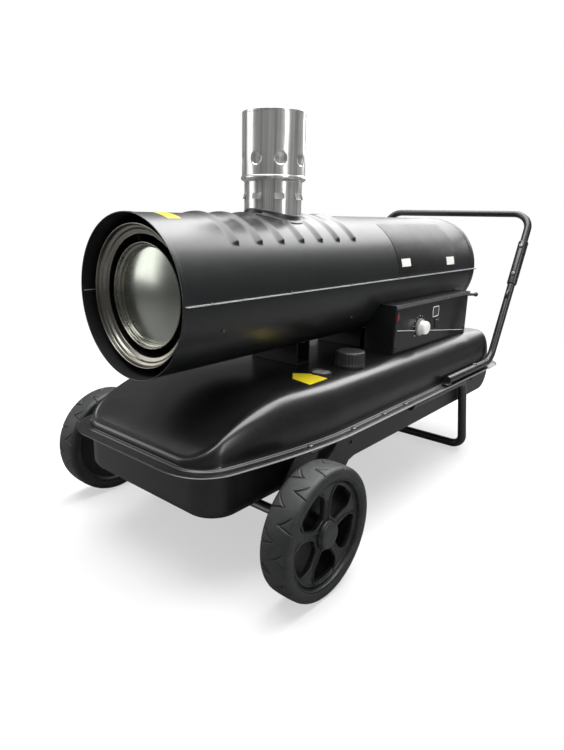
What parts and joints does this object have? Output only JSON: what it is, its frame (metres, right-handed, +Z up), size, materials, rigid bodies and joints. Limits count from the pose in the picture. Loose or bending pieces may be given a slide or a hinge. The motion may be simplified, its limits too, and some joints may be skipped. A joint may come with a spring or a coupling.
{
  "type": "diesel space heater",
  "caption": "Indirect diesel space heater on two wheels with flue, fuel tank, control box and push handle.",
  "frame": {"origin": "on the floor, under the middle of the whole object's box", "axes": "+Z up, the hot-air outlet looks along -Y, the push handle is at +Y, the control panel is on the +X side"},
  "size_m": [0.707, 1.3922, 0.881],
  "materials": {
    "black_paint": "satin",
    "grey_paint": "satin",
    "tube_paint": "satin",
    "stainless": "polished",
    "zinc_steel": "zinc plated",
    "brass": "plain",
    "cast_metal": "cast",
    "tyre_rubber": "matte",
    "black_plastic": "satin",
    "gloss_black": "gloss",
    "white_plastic": "satin",
    "red_plastic": "satin",
    "ceramic": "glazed",
    "board": "satin",
    "window": "clear gloss",
    "yellow_film": "printed film",
    "fan_metal": "stamped"
  },
  "bodies": {
    "base": {"upper_shell": "black_paint", "louvres": "black_paint", "lower_shell": "black_paint", "body_screws": "zinc_steel", "outlet_ring": "stainless", "exchanger_jacket": "stainless", "jacket_brackets": "zinc_steel", "combustion_drum": "stainless", "drum_end": "stainless", "drum_supports": "stainless", "flue_lower": "stainless", "flue_upper": "stainless", "flue_collar": "black_paint", "flame_tube": "stainless", "burner_plate": "cast_metal", "nozzle": "brass", "electrodes": "ceramic", "photocell": "black_plastic", "motor": "cast_metal", "motor_bracket": "zinc_steel", "fuel_pump": "cast_metal", "fuel_lines": "brass", "rear_guard": "black_paint", "tank_hood": "black_paint", "tank_pan": "grey_paint", "filler_neck": "zinc_steel", "fuel_gauge": "white_plastic", "drain_plug": "black_plastic", "fuel_filter": "white_plastic", "saddles": "black_paint", "side_plates": "grey_paint", "axle": "zinc_steel", "axle_washers": "zinc_steel", "rear_leg": "tube_paint", "handle_lower_left": "tube_paint", "handle_lower_right": "tube_paint", "handle_upper": "tube_paint", "handle_sleeves": "tube_paint", "handle_bolts": "zinc_steel", "control_box": "black_paint", "control_panel": "gloss_black", "display_window": "window", "control_board": "board", "cable_gland": "black_plastic", "cord_hook": "tube_paint", "label_panel": "gloss_black", "warning_patches": "yellow_film"},
    "wheel_left_body": {"tyre_left": "tyre_rubber", "rim_left": "black_plastic", "hub_cap_left": "black_plastic"},
    "wheel_right_body": {"tyre_right": "tyre_rubber", "rim_right": "black_plastic", "hub_cap_right": "black_plastic"},
    "fan_body": {"fan_rotor": "fan_metal", "motor_shaft": "zinc_steel"},
    "knob_body": {"temperature_knob": "white_plastic"},
    "rocker_body": {"rocker_switch": "black_plastic"},
    "cap_body": {"fuel_cap": "black_plastic"},
    "float_body": {"float_arm": "red_plastic"},
    "needle_body": {"gauge_needle": "red_plastic"}
  },
  "joints": [
    {"name": "wheel_left_spin", "type": "hinge", "parent": "base", "child": "wheel_left_body", "pos_m": [-0.3225, -0.50908, 0.127], "axis": [1, 0, 0], "continuous": true},
    {"name": "wheel_right_spin", "type": "hinge", "parent": "base", "child": "wheel_right_body", "pos_m": [0.3225, -0.50908, 0.127], "axis": [1, 0, 0], "continuous": true},
    {"name": "fan_spin", "type": "hinge", "parent": "base", "child": "fan_body", "pos_m": [0, 0.23492, 0.526], "axis": [0, 1, 0], "continuous": true},
    {"name": "knob_turn", "type": "hinge", "parent": "base", "child": "knob_body", "pos_m": [0.1795, 0.12092, 0.397], "axis": [1, 0, 0], "range_deg": [0, 270]},
    {"name": "rocker_tip", "type": "hinge", "parent": "base", "child": "rocker_body", "pos_m": [0.175, 0.22792, 0.393], "axis": [0, 1, 0], "range_deg": [-8, 8]},
    {"name": "cap_turn", "type": "hinge", "parent": "base", "child": "cap_body", "pos_m": [0.158, -0.17308, 0.351], "axis": [0, 0, 1], "range_deg": [0, 80]},
    {"name": "float_swing", "type": "hinge", "parent": "base", "child": "float_body", "pos_m": [0.15, -0.27408, 0.285], "axis": [0, 1, 0], "range_deg": [-38, 10]},
    {"name": "needle_turn", "type": "hinge", "parent": "base", "child": "needle_body", "pos_m": [0.15, -0.27408, 0.343], "axis": [0, 0, 1], "range_deg": [-152, 40]}
  ],
  "couplings": [
    {"joint": "needle_turn", "follows": "float_swing", "ratio": 4}
  ]
}
